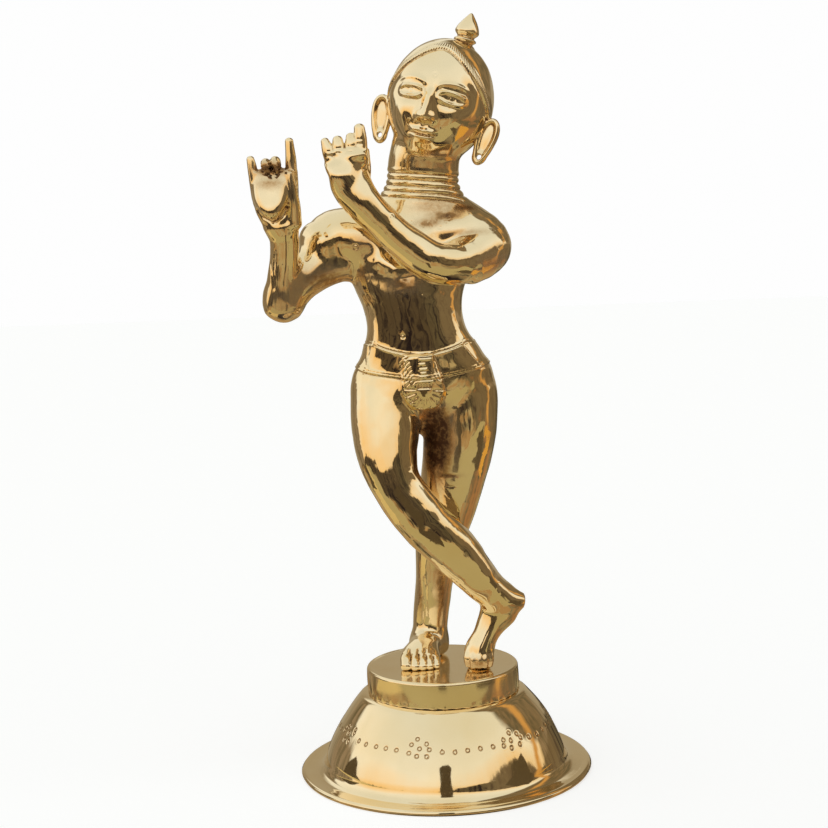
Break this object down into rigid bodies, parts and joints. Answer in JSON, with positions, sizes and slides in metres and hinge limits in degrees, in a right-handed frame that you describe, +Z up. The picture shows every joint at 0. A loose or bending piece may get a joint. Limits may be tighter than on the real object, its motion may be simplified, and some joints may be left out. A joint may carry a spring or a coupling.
{
  "type": "standing figure on a domed base",
  "caption": "Brass figure standing with crossed legs and raised hands, on a round plinth and a hollow domed foot with a flat flange; it stands on its own as an ornament.",
  "frame": {"origin": "middle of the underside of the object's bounding box, on the surface it stands on", "axes": "+Z up through the figure; the figure faces -Y; +X is to the right of a viewer who faces it"},
  "size_m": [0.1596, 0.15, 0.3818],
  "materials": {
    "figure_brass": "hand-polished, with dark tarnish in the hollows",
    "plinth_brass": "polished, turned",
    "base_brass": "polished, turned, with punched rings"
  },
  "bodies": {
    "root": {"figure": "figure_brass", "plinth_drum": "plinth_brass", "dome_base": "base_brass"}
  },
  "joints": []
}
